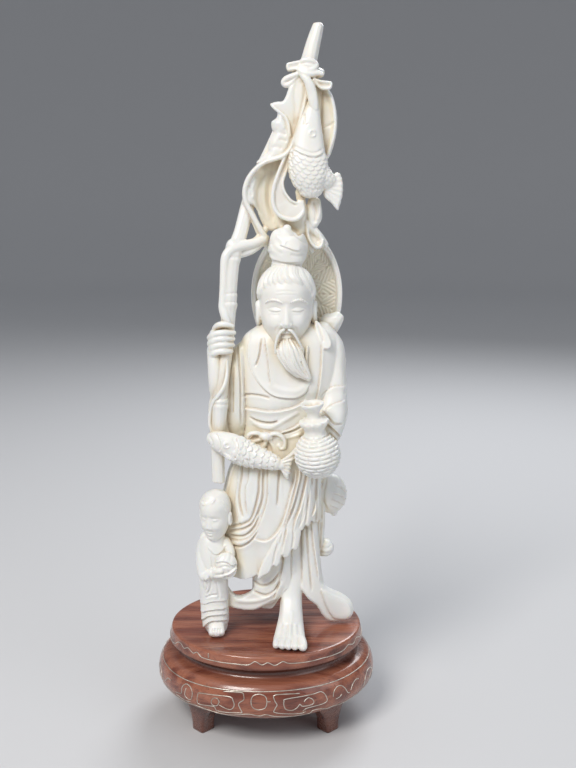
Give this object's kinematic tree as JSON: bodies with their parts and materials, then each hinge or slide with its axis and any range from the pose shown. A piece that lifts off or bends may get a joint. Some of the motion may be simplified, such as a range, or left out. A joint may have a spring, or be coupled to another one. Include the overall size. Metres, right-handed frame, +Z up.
{
  "type": "shou lao figure",
  "caption": "Carved old fisherman with a bamboo staff, hanging fish, lotus leaves, jar, carp and a leaning child, on an oval dark wood stand with low feet.",
  "frame": {"origin": "on the ground under the middle of the stand", "axes": "+Z up, +X to the right of someone who faces the figure, -Y towards them"},
  "size_m": [0.1, 0.085, 0.3053],
  "materials": {
    "stand_wood": "dark red hardwood, polished, with fine silver wire inlay",
    "carving": "ivory-coloured, smooth with a soft polish, amber tint in the recesses"
  },
  "bodies": {
    "root": {"stand": "stand_wood", "figure": "carving"}
  },
  "joints": []
}
